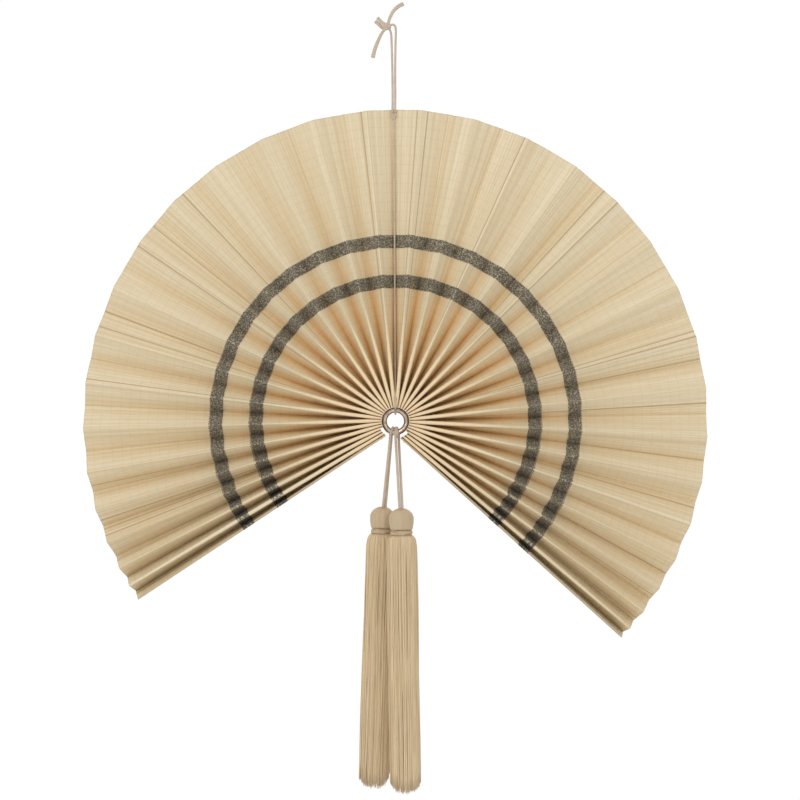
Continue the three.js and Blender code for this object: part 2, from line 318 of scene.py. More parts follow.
def bamboo_surface():
    """Splints of cream bamboo, with a painted warm glow in the valleys for light bounced between the
    panels, strongest towards the hub, and painted highlights on the ridges near the hub.
    """
    s = Surface("bamboo", (0.80, 0.66, 0.43), 0.5, Specular_IOR_Level=0.35)
    tone, index = s.value("splint_tone"), s.value("splint_index")
    radius, valley = s.value("fan_radius"), s.value("fan_across")
    streaks = s.noise(s.vector(s.times(index, 3.7), s.times(radius, 22)), 1.0, 4)
    light = s.mix(s.ramp(tone, 0.0, 1.0), (0.74, 0.60, 0.38), (0.85, 0.745, 0.535))
    light = s.mix(s.ramp(streaks, 0.35, 0.75, 0.0, 0.4), light, (0.70, 0.53, 0.31))
    brown = s.ramp(tone, 0.035, 0.02)
    light = s.mix(s.times(brown, 0.6), light, (0.42, 0.29, 0.15))
    hubward = s.ramp(radius, 0.24, 0.05)
    deep = s.ramp(valley, 0.15, 1.0)
    # Painted highlight: the ridges near the hub are painted paler, for the light falling on them.
    crest = s.times(s.ramp(radius, 0.15, 0.04), s.ramp(valley, 0.3, 0.0))
    light = s.mix(s.times(crest, 0.85), light, (0.94, 0.71, 0.44))
    # Painted warm glow in the valleys, strongest towards the hub: colour standing in for light bounced
    # between the panels.
    painted_valley_glow = s.math("MULTIPLY", deep, s.math("MULTIPLY_ADD", hubward, 0.9, 0.06), clamp=True)
    colour = s.mix(painted_valley_glow, light, (1.0, 0.68, 0.32))
    rows = s.math("FRACT", s.times(radius, 1 / THREAD_SPACING))
    thread = s.ramp(s.math("ABSOLUTE", s.math("SUBTRACT", rows, 0.5)), 0.07, 0.02)
    colour = s.mix(s.times(thread, 0.18), colour, (0.60, 0.47, 0.30))
    # Under each band the splints are painted dark with random flecks: partly the dark yarn's own colour
    # seen between its rows, partly painted shade under the yarn.
    for inner, outer in BANDS:
        past_inner = s.ramp(radius, inner - BAND_EDGE, inner)
        inside = s.times(past_inner, s.ramp(radius, outer, outer - BAND_EDGE))
        cell = s.noise(s.vector(s.times(index, 5.1), s.times(radius, 600)), 1.0, 1)
        fleck = s.ramp(cell, 0.50, 0.60, 0.92, 0.35)
        colour = s.mix(s.times(inside, fleck), colour, (0.085, 0.075, 0.058))
    place = s.vector(s.times(index, 9.1), s.times(radius, 140), valley)
    fibre = s.noise(place, 3.0, 3)
    return s.finish(colour, s.math("MULTIPLY_ADD", thread, 0.8, fibre), 0.25, 0.0003)


def band_surface():
    """Dark woven yarn with paler flecks."""
    s = Surface("band_yarn", (0.07, 0.064, 0.052), 0.85, Sheen_Weight=0.15)
    tone = s.value("splint_tone")
    grain = s.noise(s.place(), 2600, 2)
    colour = s.mix(s.ramp(tone, 0.0, 0.9), (0.085, 0.076, 0.058), (0.30, 0.265, 0.20))
    colour = s.mix(s.ramp(tone, 0.93, 0.96, 0.0, 0.7), colour, (0.44, 0.38, 0.27))
    colour = s.mix(s.ramp(grain, 0.3, 0.7, 0.0, 0.35), colour, (0.035, 0.031, 0.025))
    return s.finish(colour, grain, 0.3, 0.0002)


def cotton_surface(name, dark, pale, scale=1500):
    """Twisted cotton: paler on the strands, with painted shade darkening the grooves between them."""
    s = Surface(name, pale, 0.85, Sheen_Weight=0.2)
    grain = s.noise(s.place(), scale, 3)
    broad = s.noise(s.place(), 90, 2)
    colour = s.mix(s.ramp(grain, 0.25, 0.75), pale, tuple(0.82 * c for c in pale))
    colour = s.mix(s.ramp(broad, 0.3, 0.7, 0.0, 0.3), colour, dark)
    # Painted shade: the grooves between the plies are painted darker.
    colour = s.mix(s.times(s.value("groove"), 0.75), colour, dark)
    return s.finish(colour, grain, 0.35, 0.0002)


def yarn_surface():
    """The tassels' fine straight yarn."""
    s = Surface("tassel_yarn", (0.72, 0.58, 0.38), 0.6, Sheen_Weight=0.3)
    tone, drop = s.value("strand_tone"), s.value("strand_drop")
    streak = s.noise(s.vector(s.times(tone, 91), s.times(drop, 30)), 1.0, 3)
    colour = s.mix(s.ramp(tone, 0.0, 1.0), (0.58, 0.42, 0.225), (0.81, 0.64, 0.41))
    colour = s.mix(s.ramp(streak, 0.4, 0.75, 0.0, 0.5), colour, (0.54, 0.38, 0.205))
    colour = s.mix(s.ramp(tone, 0.06, 0.03, 0.0, 0.6), colour, (0.36, 0.25, 0.13))
    colour = s.mix(s.ramp(drop, -0.026, -0.023, 0.0, 0.5), colour, (0.41, 0.32, 0.21))
    colour = s.mix(s.ramp(drop, -0.0035, -0.0005, 0.0, 0.85), colour, (0.42, 0.24, 0.09))
    return s.finish(colour, streak, 0.2, 0.0002)


def ring_surface():
    """Worn brass with a dull film, brighter where it is rubbed, with painted shade and reflection
    darkening the wire's inner and outer edges.
    """
    s = Surface("ring_metal", (0.62, 0.50, 0.33), 0.32, Metallic=0.9)
    film = s.noise(s.place(), 260, 4)
    specks = s.noise(s.place(), 1400, 2)
    colour = s.mix(s.ramp(film, 0.35, 0.7), (0.80, 0.64, 0.49), (0.52, 0.38, 0.27))
    colour = s.mix(s.ramp(specks, 0.6, 0.75, 0.0, 0.6), colour, (0.20, 0.14, 0.08))
    # Painted shade and dark reflection: the wire's inner and outer edges are painted near black.
    painted_edge_shade = s.ramp(s.value("ring_side"), 0.55, 0.9, 0.0, 0.92)
    colour = s.mix(painted_edge_shade, colour, (0.07, 0.042, 0.022))
    s.link(s.ramp(film, 0.3, 0.75, 0.25, 0.5), s.shader.inputs["Roughness"])
    return s.finish(colour, specks, 0.15, 0.0001)


BAMBOO = bamboo_surface()
BAND_YARN = band_surface()
CORD = cotton_surface("cord_cotton", (0.38, 0.28, 0.19), (0.79, 0.67, 0.54))
COLLAR_CORD = cotton_surface("collar_cotton", (0.30, 0.20, 0.105), (0.78, 0.61, 0.40))
THREAD = cotton_surface("thread_cotton", (0.40, 0.31, 0.18), (0.78, 0.68, 0.50), 2500)
YARN = yarn_surface()
RING_METAL = ring_surface()

# ------------------------------ cords

RING_RADIUS = 12.6
RING_WIRE_RADIUS = 3
CORD_TO_RING = 0.4
VALLEY_CORD_RADIUS = 1.1
CORD_RADIUS = 1.35
TAIL_RADIUS = 2.5
CUT_END_RADIUS = 2.1
TASSEL_CORD_RADIUS = 1.55
CENTRE_ANGLE = -0.3
CORD_STEP = 0.7 * MM
CORD_SIDES = 15
CORD_PITCH = 8.5 * MM
CORD_PLIES = 3
VALLEY_CORD_PITCH = 6.5 * MM
VALLEY_CORD_PLIES = 2
CORD_END_GROOVES = (0.3, 0.3)


def on_ring(ring_angle, wind, cord_radius):
    """A point on a cord wound round the ring: ring_angle is the place round the ring from its
    lowest point towards -X, and wind turns round the wire from outside, by way of the front."""
    out = RING_WIRE_RADIUS + CORD_TO_RING + cord_radius
    winding = math.radians(wind)
    return at_angle(180 + ring_angle, RING_RADIUS + out * math.cos(winding), -out * math.sin(winding))


def windings(first, last, turns, cord_radius):
    """Points on a cord wound this many turns, from one ring angle to another."""
    count = round(turns * 12)
    shares = [k / count for k in range(count + 1)]
    return [on_ring(first + (last - first) * s, 90 + 360 * turns * s, cord_radius) for s in shares]


def make_cord(name, line, radius, body, pitch=CORD_PITCH, plies=CORD_PLIES, material=CORD):
    """A twisted cord along a line, with its groove depth held for its material's painted groove shade.
    """
    parts = MeshParts()
    add_tube(parts, line, radius, around=CORD_SIDES, plies=plies, pitch=pitch)
    made = parts.make(name, [material])
    turn = even_turns(CORD_SIDES)[None, :]
    twist = 2 * math.pi * lengths_along(line)[:, None] / pitch
    groove = 1 - np.abs(np.cos(plies / 2 * (turn - twist)))
    point_values(made, "groove", [*groove.reshape(-1), *CORD_END_GROOVES])
    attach(made, body)
    return made


# The cord down the centre valley: distance from the hub and depth of each point.
VALLEY_ROUTE = (
    (13.4, -5.2), (14.4, -9), (14.9, -13), (16.3, -17), (19.2, -18.8), (24, -18), (31, -13.6),
    (42, -8.6), (60, -3), (80, 0.8), (110, 3.4), (150, 4.8), (200, 5), (250, 4.2),
    (300, 2.8), (339, 1.2),
)
# The cord's hidden end behind the ring: angle, distance from the hub and depth of each point.
HITCH_END = ((0, 13.4, 7), (1, 14, 10.5), (3, 13.4, 14))


def make_valley_cord():
    """The cord hitched over the top of the ring, which then lies in the centre valley."""
    hitch = windings(180 + CENTRE_ANGLE, 180, 0.5, VALLEY_CORD_RADIUS)[1:]
    tucked = [at_angle(*point) for point in HITCH_END]
    valley = [at_angle(CENTRE_ANGLE, radius, depth) for radius, depth in VALLEY_ROUTE]
    line = smooth_route([*tucked[::-1], *hitch[::-1], *valley], CORD_STEP)
    look = {"pitch": VALLEY_CORD_PITCH, "plies": VALLEY_CORD_PLIES}
    made = make_cord("valley_cord_twisted", line, VALLEY_CORD_RADIUS * MM, "hub", **look)
    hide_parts("valley_cord", "ring_hitch")
    return made, line


KNOT_PITCH = 7 * MM
TOP_KNOT = {"place": (-7.4, 0, -1), "size": 3.2, "cord_radius": 1.75, "tilt": 0.9}
RIM_KNOT = {"place": (0, 0.6, -101), "size": 2.2, "cord_radius": 1.15, "tilt": 0.4}
TOP_KNOT_LEFT = (-7.4, -0.6, -2.6)
TOP_KNOT_RIGHT = (-6, -0.4, 0.6)
TOP_KNOT_ENDS = (-8, 0, 0)
LEFT_STRAND = (
    (-1.3, 0.6, -97.4), (-1.3, 0.6, -92), (-1.2, 0.6, -82), (-1.5, 0.6, -50), (-2.3, 0.6, -20),
    (-2.9, 0.4, -9), (-4.4, 0.2, -4.4),
)
RIGHT_STRAND = (
    (1.7, 0.6, -97.4), (1.7, 0.6, -92), (1.8, 0.6, -82), (1.7, 0.6, -50), (2.1, 0.6, -20),
    (2.4, 0.4, -6), (1.7, 0.2, -0.4), (-0.6, 0.1, 1.5), (-3.4, 0, 1),
)
TAIL_UP = ((-5.8, -1, 3.4), (-4.2, -2, 9), (0, -3, 16.5), (5.4, -3.4, 21.6), (11, -3.4, 24.6))
TAIL_DOWN = (
    (-10.4, -1, -4.6), (-14, -2, -9.6), (-17.4, -2.8, -17), (-20.6, -3.2, -25), (-23.6, -3.2, -36),
)
END_UPPER = ((-11, -1.4, 2.2), (-14.6, -2, 5), (-18.4, -2.4, 9))
END_LOWER = ((-12.4, 1.4, -1.8), (-16.4, 1.6, 1.6), (-20.8, 1.8, 5.4))


def swelling(line, thin, thick, start):
    """A radius that grows from thin to thick over the last part of a line, from share start on."""
    share = np.linspace(0, 1, len(line))
    rise = np.clip((share - start) / (1 - start), 0, 1)
    return thin + (thick - thin) * rise**0.6


def make_hanging_cord():
    """Two strands from the rim knot up to the top knot, each with its own tail."""
    left = smooth_route(np.array([*LEFT_STRAND, TOP_KNOT_LEFT, *TAIL_DOWN]) * MM, CORD_STEP)
    right = smooth_route(np.array([*RIGHT_STRAND, TOP_KNOT_RIGHT, *TAIL_UP]) * MM, CORD_STEP)
    made = []
    for name, line, start, nodes in (
        ("hanging_strand_left", left, 0.70, ("hanging_cord_left", "tail_down")),
        ("hanging_strand_right", right, 0.74, ("hanging_cord_right", "tail_up")),
    ):
        radius = swelling(line, CORD_RADIUS * MM, TAIL_RADIUS * MM, start)
        piece = make_cord(name, line, radius, "hub")
        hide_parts(*nodes)
        made.append((piece, line))
    return made


def make_knot(name, knot, node):
    """An overhand knot pulled tight: a trefoil of cord."""
    t = np.linspace(0, 2 * math.pi, 121)
    shape = np.stack(
        [
            np.sin(t) + 2 * np.sin(2 * t),
            1.1 * np.sin(3 * t),
            np.cos(t) - 2 * np.cos(2 * t),
        ],
        1,
    )
    shape = shape / np.abs(shape).max() * (knot["size"] * MM)
    c, s = math.cos(knot["tilt"]), math.sin(knot["tilt"])
    shape[:, [0, 2]] = shape[:, [0, 2]] @ np.array([[c, -s], [s, c]])
    line = shape + np.array(knot["place"]) * MM
    made = make_cord(name, line, knot["cord_radius"] * MM, "hub", KNOT_PITCH)
    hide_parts(node)
    return made


def make_cord_ends():
    """The two short cut ends that stand out of the top knot."""
    made = []
    for name, route, node in (
        ("cut_end_upper", END_UPPER, "knot_end_upper"),
        ("cut_end_lower", END_LOWER, "knot_end_lower"),
    ):
        line = smooth_route(np.array([TOP_KNOT_ENDS, *route]) * MM, CORD_STEP)
        piece = make_cord(name, line, CUT_END_RADIUS * MM, "hub")
        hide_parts(node)
        made.append(piece)
    return made


# Each tassel, in millimetres and degrees: where the top of its head is from the hub (head_x,
# depth, head_top), how far it leans, its skirt's length with the collar, the ring angles that its
# cord winds between and in how many turns, and where the cord's two strands meet the head.
TASSELS = (
    {
        "name": "left", "head_x": -14.3, "depth": 3, "head_top": -96, "lean": 1.9, "skirt": 292.5,
        "ring_angles": (24, 18), "turns": 0.5, "cord_x": (-14.1, -11.2), "cord_y": (1.4, 4.2),
    },
    {
        "name": "right", "head_x": 6.3, "depth": -18, "head_top": -97, "lean": -0.9, "skirt": 295,
        "ring_angles": (1, -15), "turns": 1.5, "cord_x": (4.7, 7.8), "cord_y": (-18, -18),
    },
)


def tassel_cord_line(tassel):
    """Up one side from the head, round the ring, and down the other side."""
    wound = windings(*tassel["ring_angles"], tassel["turns"], TASSEL_CORD_RADIUS)

    def strand(k, top):
        foot = HUB + np.array([tassel["cord_x"][k], tassel["cord_y"][k], tassel["head_top"] - 1]) * MM
        points = []
        for share in (0.12, 0.35, 0.65, 1):
            point = top + (foot - top) * share
            point[1] = top[1] + (foot[1] - top[1]) * share**1.4
            points.append(point)
        return points

    up = strand(0, wound[0])[::-1]
    down = strand(1, wound[-1])
    return smooth_route([*up, *wound, *down], CORD_STEP)


valley_cord, valley_line = make_valley_cord()
rim_knot = make_knot("rim_knot_tied", RIM_KNOT, "rim_knot")
hanging_strands = make_hanging_cord()
top_knot = make_knot("top_knot_tied", TOP_KNOT, "hanging_knot")
cut_ends = make_cord_ends()
for tassel in TASSELS:
    line = tassel_cord_line(tassel)
    name = tassel["name"]
    made = make_cord(f"tassel_loop_{name}", line, TASSEL_CORD_RADIUS * MM, f"tassel_{name}")
    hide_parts(f"tassel_cord_{name}")

# ------------------------------ creases of the leaf

RIM_RADIUS = 350
INNER_RADIUS = 17
INNER_RADIUS_GROWTH = 4.5
PANEL_WIDTH = 33
PITCH_TAPER = 0.7
PITCH_TAPER_POWER = 3.5
PITCH_WOBBLE = 0.2
BINDING_INSET = 3.5
SIDES = (
    {"name": "left", "turn": -1, "pleats": 15, "rim_span": 122.9, "hub_span": 143, "edge": 1.5},
    {"name": "right", "turn": 1, "pleats": 16, "rim_span": 133.1, "hub_span": 160, "edge": 0.9},
)
CENTRE_CREASE = 2 * SIDES[0]["pleats"] + 1


def rim_angle(side, place):
    """How far round the rim a crease stands. Whole places are valleys, and halves are ridges,
    except the free edge, which is the last half."""

    def total(n):
        return sum(1 - PITCH_TAPER * (k / side["pleats"]) ** PITCH_TAPER_POWER for k in range(1, n + 1))

    def valley(n):
        wobble = 0 if n in (0, side["pleats"]) else PITCH_WOBBLE * math.sin(2.1 * n + side["turn"])
        return side["rim_span"] * total(n) / total(side["pleats"]) + wobble

    if place > side["pleats"]:
        return side["rim_span"] + side["edge"]
    return (valley(math.floor(place)) + valley(math.ceil(place))) / 2


def make_creases():
    """Each crease's inner and outer point, and where the binding thread crosses it."""
    left, right = SIDES
    places = [(left, n / 2) for n in range(2 * left["pleats"] + 1, 0, -1)]
    places += [(right, n / 2) for n in range(2 * right["pleats"] + 2)]
    inner, outer, bound = [], [], []
    for side, place in places:
        inner_angle = CENTRE_ANGLE + side["turn"] * side["hub_span"] * place / (side["pleats"] + 0.5)
        inner_radius = INNER_RADIUS + INNER_RADIUS_GROWTH * (place / side["pleats"]) ** 3
        inner.append(at_angle(inner_angle, inner_radius))
        outer.append(at_angle(CENTRE_ANGLE + side["turn"] * rim_angle(side, place), RIM_RADIUS))
        bound.append(at_angle(inner_angle, inner_radius + BINDING_INSET))
    inner, outer = np.array(inner), np.array(outer)
    for points in (inner, outer):
        apart = np.linalg.norm(np.diff(points, axis=0), axis=1)
        depth = np.sqrt((PANEL_WIDTH * MM) ** 2 - apart**2)
        mean = np.concatenate([depth[:1], (depth[1:] + depth[:-1]) / 2, depth[-1:]])
        front = np.arange(len(points)) % 2 == 0
        points[:, 1] = np.where(front, -mean / 2, mean / 2)
    return inner, outer, np.array(bound)


CREASE_INNER, CREASE_OUTER, BINDING_POINTS = make_creases()
PANELS = len(CREASE_INNER) - 1

# ------------------------------ the leaf's surface

SPLINTS = 18
COLUMNS = 3 * SPLINTS
MIDDLE_STATIONS = 18
INNER_STATIONS = (0, 0.015, 0.03, 0.05, 0.075)
OUTER_STATIONS = (0.98, 0.996, 1)
# The splints begin at this distance from the hub, and by the free edges further out, because the
# tassel cords slide round the ring there.
INNER_REACH = 15.9
SWUNG_REACH = 19.2
SWUNG_PANELS = 6
# The ridges stand out most where they are 5 to 12 mm apart.
CREST_SWELL = 1.5 * MM
CREST_PITCH = (0.0026, 0.005, 0.012, 0.022)
CREST_SHARE = (0.2, 1, 1, 0)
CREST_WIDTH = 0.2
SPLINT_JITTER = 0.16
DARK_SPLINTS = 0.022
DARK_TONE = 0.015
SPLINT_THICKNESS = 0.95 * MM
GAP_THICKNESS = 0.34 * MM
SPLINT_SHOULDER = 0.24


class Leaf:
    """The whole leaf as columns of points that run from the hub to the rim, three to a splint."""

    def __init__(self):
        jitter = random.uniform(-SPLINT_JITTER, SPLINT_JITTER, (PANELS, SPLINTS + 1)) / SPLINTS
        jitter[:, [0, -1]] = 0
        edges = np.linspace(0, 1, SPLINTS + 1)[None] + jitter
        width = np.diff(edges, axis=1)
        shoulder = SPLINT_SHOULDER * width
        columns = [edges[:, :-1], edges[:, :-1] + shoulder, edges[:, 1:] - shoulder]
        share = np.stack(columns, -1).reshape(PANELS, COLUMNS)
        self.share = np.append(share.reshape(-1), 1.0)
        self.panel = np.append(np.repeat(np.arange(PANELS), COLUMNS), PANELS - 1)
        count = len(self.share)
        f = self.share[:, None]
        inner = CREASE_INNER[self.panel] * (1 - f) + CREASE_INNER[self.panel + 1] * f
        outer = CREASE_OUTER[self.panel] * (1 - f) + CREASE_OUTER[self.panel + 1] * f
        self.inner, self.outer = inner, outer
        self.tones = self.splint_tones()
        self.reach = 1 + self.rim_wander(count)
        middle_stations = np.linspace(0.1, 0.94, MIDDLE_STATIONS)
        self.along = np.concatenate([INNER_STATIONS, middle_stations, OUTER_STATIONS])
        from_edge = np.minimum(self.panel, PANELS - 1 - self.panel)
        beginning = np.where(from_edge < SWUNG_PANELS, SWUNG_REACH, INNER_REACH) * MM
        short = np.hypot(*(inner - HUB)[:, [0, 2]].T) - beginning
        self.start = -np.maximum(short / np.linalg.norm(outer - inner, axis=1), 0)
        thickness = np.full((count, 1), SPLINT_THICKNESS / 2)
        thickness[::3] = GAP_THICKNESS / 2
        wander = random.normal(0, 0.05 * MM, (count // 3 + 1, 1))
        column = np.arange(count)
        self.thickness = thickness + np.where(column[:, None] % 3 > 0, wander[column // 3], 0)

    def splint_tones(self):
        """A tone for each splint, mostly alike in a strip of neighbours, with a few dark ones."""
        tones = np.clip(random.normal(0.55, 0.2, PANELS * SPLINTS), 0.08, 1)
        slow = np.convolve(random.normal(0, 0.35, PANELS * SPLINTS + 8), np.ones(9) / 9, "valid")
        tones = np.clip(tones + slow, 0.08, 1)
        dark = random.random(PANELS * SPLINTS) < DARK_SPLINTS
        return np.where(dark, DARK_TONE, tones)

    def rim_wander(self, count):
        """How much each splint stands past or short of the rim, as a share of its length."""
        slow = np.convolve(random.normal(0, 0.003, count + 60), np.ones(61) / 61, "valid")
        return np.clip(slow + random.normal(0, 0.0003, count), -0.003, 0.003)

    def middle(self, columns, along):
        """The middle surface at each column and share of the way from the hub, for pairs of them."""
        start = self.start[columns]
        far = start + (1 - start) * along * (1 + (self.reach[columns] - 1) * along)
        return self.inner[columns] + (self.outer[columns] - self.inner[columns]) * far[..., None]

    def panel_normal(self, panel, share, along):
        """The direction out of the front of a panel."""
        start = CREASE_INNER[panel] + (CREASE_OUTER[panel] - CREASE_INNER[panel]) * along[..., None]
        end = CREASE_INNER[panel + 1]
        end = end + (CREASE_OUTER[panel + 1] - CREASE_INNER[panel + 1]) * along[..., None]
        down = (CREASE_OUTER - CREASE_INNER)[panel] * (1 - share)[..., None]
        down = down + (CREASE_OUTER - CREASE_INNER)[panel + 1] * share[..., None]
        return unit(np.cross(end - start, down))

    def normal(self, columns, along):
        """The front direction at each column; at a crease it halves the fold and is longer."""
        panel, share = self.panel[columns], self.share[columns]
        own = self.panel_normal(panel, share, along)
        before = self.panel_normal(np.maximum(panel - 1, 0), np.ones_like(share), along)
        first = (share < 1e-9)[..., None]
        middle = unit(own + before)
        mitre = 1 / np.maximum((own * middle).sum(-1, keepdims=True), 0.62)
        return np.where(first, middle * mitre, own)


leaf = Leaf()


# Where a panel is cut in strips, counted in splints from its ridge.
PLEAT_CUTS = (0, 1, 4, 9, 18)
CENTRE_CUTS = (0, 1, 4, 9, 14, 17, 18)


def panel_strips(panel):
    """A panel's strips: the splints each spans, counted from its ridge, the two bodies on either side of
    it, a share between them at both of its edges, and the CAD node that it stands for."""
    side = SIDES[1] if panel >= CENTRE_CREASE else SIDES[0]
    step = panel - CENTRE_CREASE if panel >= CENTRE_CREASE else CENTRE_CREASE - 1 - panel
    name = side["name"]

    def body(n):
        return f"pleat_{name}_{n:02d}" if n <= side["pleats"] else f"edge_{name}"

    def node(n):
        return f"leaf_{body(n)}"

    strips = []
    if step == 0:
        for a, b in zip(CENTRE_CUTS, CENTRE_CUTS[1:]):
            weights = (1 - a / SPLINTS, 1 - b / SPLINTS)
            strips.append(((a, b), ("hub", body(1)), weights, node(1)))
        return strips
    n = (step + 1) // 2
    towards_ridge = step % 2 == 0
    for a, b in zip(PLEAT_CUTS, PLEAT_CUTS[1:]):
        weights = (a / SPLINTS / 2, b / SPLINTS / 2)
        if towards_ridge:
            weights = (1 - weights[0], 1 - weights[1])
        strips.append(((a, b), (body(n), body(n + 1)), weights, node(n + 1 if towards_ridge else n)))
    return strips


def add_sheet(parts, first, last, closed_sides):
    """The splints between two columns of the leaf, front, back and ends. Gives back, for each
    vertex, how far it is from the ridge to the valley, and its distance from the hub."""
    columns = np.arange(first, last + 1)
    grid, along = np.meshgrid(columns, leaf.along, indexing="ij")
    middle = leaf.middle(grid, along)
    normal = leaf.normal(grid, along)
    thickness = leaf.thickness[columns][:, None]
    share, panel = leaf.share[columns], leaf.panel[columns]
    valley = np.where(panel % 2 == 0, share, 1 - share)
    length = np.linalg.norm(leaf.outer - leaf.inner, axis=1)[columns]
    radius = RIM_RADIUS * MM - (1 - along) * length[:, None]
    apart = (CREASE_INNER[panel + 1] - CREASE_INNER[panel])[:, None] * (1 - along)[..., None]
    apart = apart + (CREASE_OUTER[panel + 1] - CREASE_OUTER[panel])[:, None] * along[..., None]
    pitch = 2 * np.hypot(apart[..., 0], apart[..., 2])
    crest = np.interp(pitch, CREST_PITCH, CREST_SHARE) * np.clip(1 - valley / CREST_WIDTH, 0, 1)[:, None]
    crest = (crest * (valley > 1e-6)[:, None])[..., None]
    rows, stations = grid.shape
    front = middle + normal * (thickness + CREST_SWELL * crest)
    back_side = middle - normal * thickness
    points = np.concatenate([front.reshape(-1, 3), back_side.reshape(-1, 3)])
    back = rows * stations
    faces = [grid_faces(rows, stations), grid_faces(rows, stations, back, flip=True)]
    row = np.arange(rows - 1) * stations
    for offset, flip in ((0, True), (stations - 1, False)):
        a, b = row + offset, row + stations + offset
        cap = np.stack([a, b, b + back, a + back], 1)
        faces.append(cap[:, ::-1] if flip else cap)
    capped = columns[:-1] // 3
    splint = capped.repeat(stations - 1)
    index = np.concatenate([splint, splint, capped, capped])
    for side in closed_sides:
        edge = np.arange(stations - 1) + (rows - 1) * stations * side
        cap = np.stack([edge, edge + 1, edge + 1 + back, edge + back], 1)
        faces.append(cap if side == 0 else cap[:, ::-1])
        index = np.concatenate([index, np.full(stations - 1, columns[-2 if side else 0] // 3)])
    index = np.minimum(index, PANELS * SPLINTS - 1)
    parts.add(points, faces, 0, splint_tone=leaf.tones[index], splint_index=index % 997)
    return np.tile(np.repeat(valley, stations), 2), np.tile(radius.reshape(-1), 2)


BAND_ROWS = 9
YARN_HALF_WIDTH = 0.80 * MM
YARN_HALF_THICKNESS = 0.34 * MM
YARN_LIFT = SPLINT_THICKNESS / 2 + 0.18 * MM
YARN_SIDES = 6
YARN_SLIMMING = 0.8
PALE_FLECKS = 0.06
PALE_TONE = 0.97


def add_bands(parts, first, last):
    """Yarn that passes over one splint and under the next, row by row in each dark band."""
    splints = np.arange(first // 3, last // 3)
    edges = leaf.share[[first, *(splints * 3 + 3)]]
    if edges[-1] == 0:
        edges[-1] = 1.0
    shares = np.empty(2 * len(splints) + 1)
    shares[::2] = edges
    shares[1::2] = (edges[:-1] + edges[1:]) / 2
    panel = leaf.panel[first]
    inner = CREASE_INNER[panel] + (CREASE_INNER[panel + 1] - CREASE_INNER[panel]) * shares[:, None]
    outer = CREASE_OUTER[panel] + (CREASE_OUTER[panel + 1] - CREASE_OUTER[panel]) * shares[:, None]
    length = np.linalg.norm(outer - inner, axis=1)
    lengthwise = unit(outer - inner)
    turn = even_turns(YARN_SIDES)
    for low, high in BANDS:
        pitch = (high - low) / BAND_ROWS
        for row in range(BAND_ROWS):
            radius = low + (row + 0.5) * pitch
            along = 1 - (RIM_RADIUS * MM - radius) / length
            middle = inner + (outer - inner) * along[:, None]
            normal = leaf.panel_normal(np.full(len(shares), panel), shares, along)
            side = np.zeros(len(shares))
            side[1::2] = np.where((splints + row) % 2 == 0, 1, -1)
            centre = middle + normal * (side * YARN_LIFT)[:, None]
            slim = np.where(side == 0, YARN_SLIMMING, 1.0)[:, None, None]
            ring = normal[:, None] * (np.sin(turn) * YARN_HALF_THICKNESS)[None, :, None]
            ring = ring + lengthwise[:, None] * (np.cos(turn) * YARN_HALF_WIDTH)[None, :, None]
            points = centre[:, None] + ring * slim
            tone = random.random(len(splints)) * 0.7 + 0.3 * random.random()
            tone = np.where(random.random(len(splints)) < PALE_FLECKS, PALE_TONE, tone)
            faces = grid_faces(len(shares), YARN_SIDES, closed=True)
            values = tone.repeat(2 * YARN_SIDES)
            parts.add(points, [faces], 1, splint_tone=values, splint_index=0)


THREAD_RADIUS = 0.55 * MM


def add_binding(parts, panel):
    """The binding thread's stretch across one panel."""
    half = (BINDING_POINTS[panel + 1] - BINDING_POINTS[panel]) / 2
    centre = BINDING_POINTS[panel] + half
    line = centre + half * np.linspace(-1, 1, 4)[:, None]
    add_tube(parts, line, THREAD_RADIUS, around=8, slot=2, splint_tone=0.5, splint_index=0)


def make_strip(panel, splints, node):
    """One strip of splints with its yarn."""
    a, b = splints if panel % 2 == 0 else (SPLINTS - splints[1], SPLINTS - splints[0])
    first, last = panel * COLUMNS + 3 * a, panel * COLUMNS + 3 * b
    sides = [side for side, free in enumerate((first == 0, last == PANELS * COLUMNS)) if free]
    parts = MeshParts()
    valley, radius = add_sheet(parts, first, last, sides)
    add_bands(parts, first, last)
    bound = splints[1] == SPLINTS // 2
    if bound:
        add_binding(parts, panel)
    yarn = np.zeros(parts.count - len(valley))
    made = parts.make(f"splints_{panel:02d}_{splints[0]:02d}", [BAMBOO, BAND_YARN, THREAD])
    point_values(made, "fan_across", np.append(valley, yarn))
    point_values(made, "fan_radius", np.append(radius, yarn))
    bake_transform(made)
    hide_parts(node)
    if bound:
        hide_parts("binding_thread")


for panel in range(PANELS):
    for splints, bodies, weights, node in panel_strips(panel):
        make_strip(panel, splints, node)

# ------------------------------ ring

RING_SIDES = (120, 28)


def make_ring():
    """The ring of round wire, slightly worn and uneven."""
    around, section = RING_SIDES
    u = even_turns(around)[:, None]
    v = even_turns(section)[None, :]
    wire = RING_WIRE_RADIUS * (1 + 0.012 * np.sin(5 * u + 1.3) + 0.01 * np.sin(3 * v + 2 * u))
    reach = RING_RADIUS + wire * np.cos(v)
    points = np.stack([reach * np.sin(u), -wire * np.sin(v), reach * np.cos(u)], -1) * MM + HUB
    parts = MeshParts()
    parts.add(points, [grid_faces(around + 1, section, closed=True) % (around * section)])
    made = parts.make("ring_wire", [RING_METAL])
    point_values(made, "ring_side", np.tile(np.abs(np.cos(v[0])), around))
    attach(made, "hub")
    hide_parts("hub_ring")


make_ring()

# ------------------------------ tassels

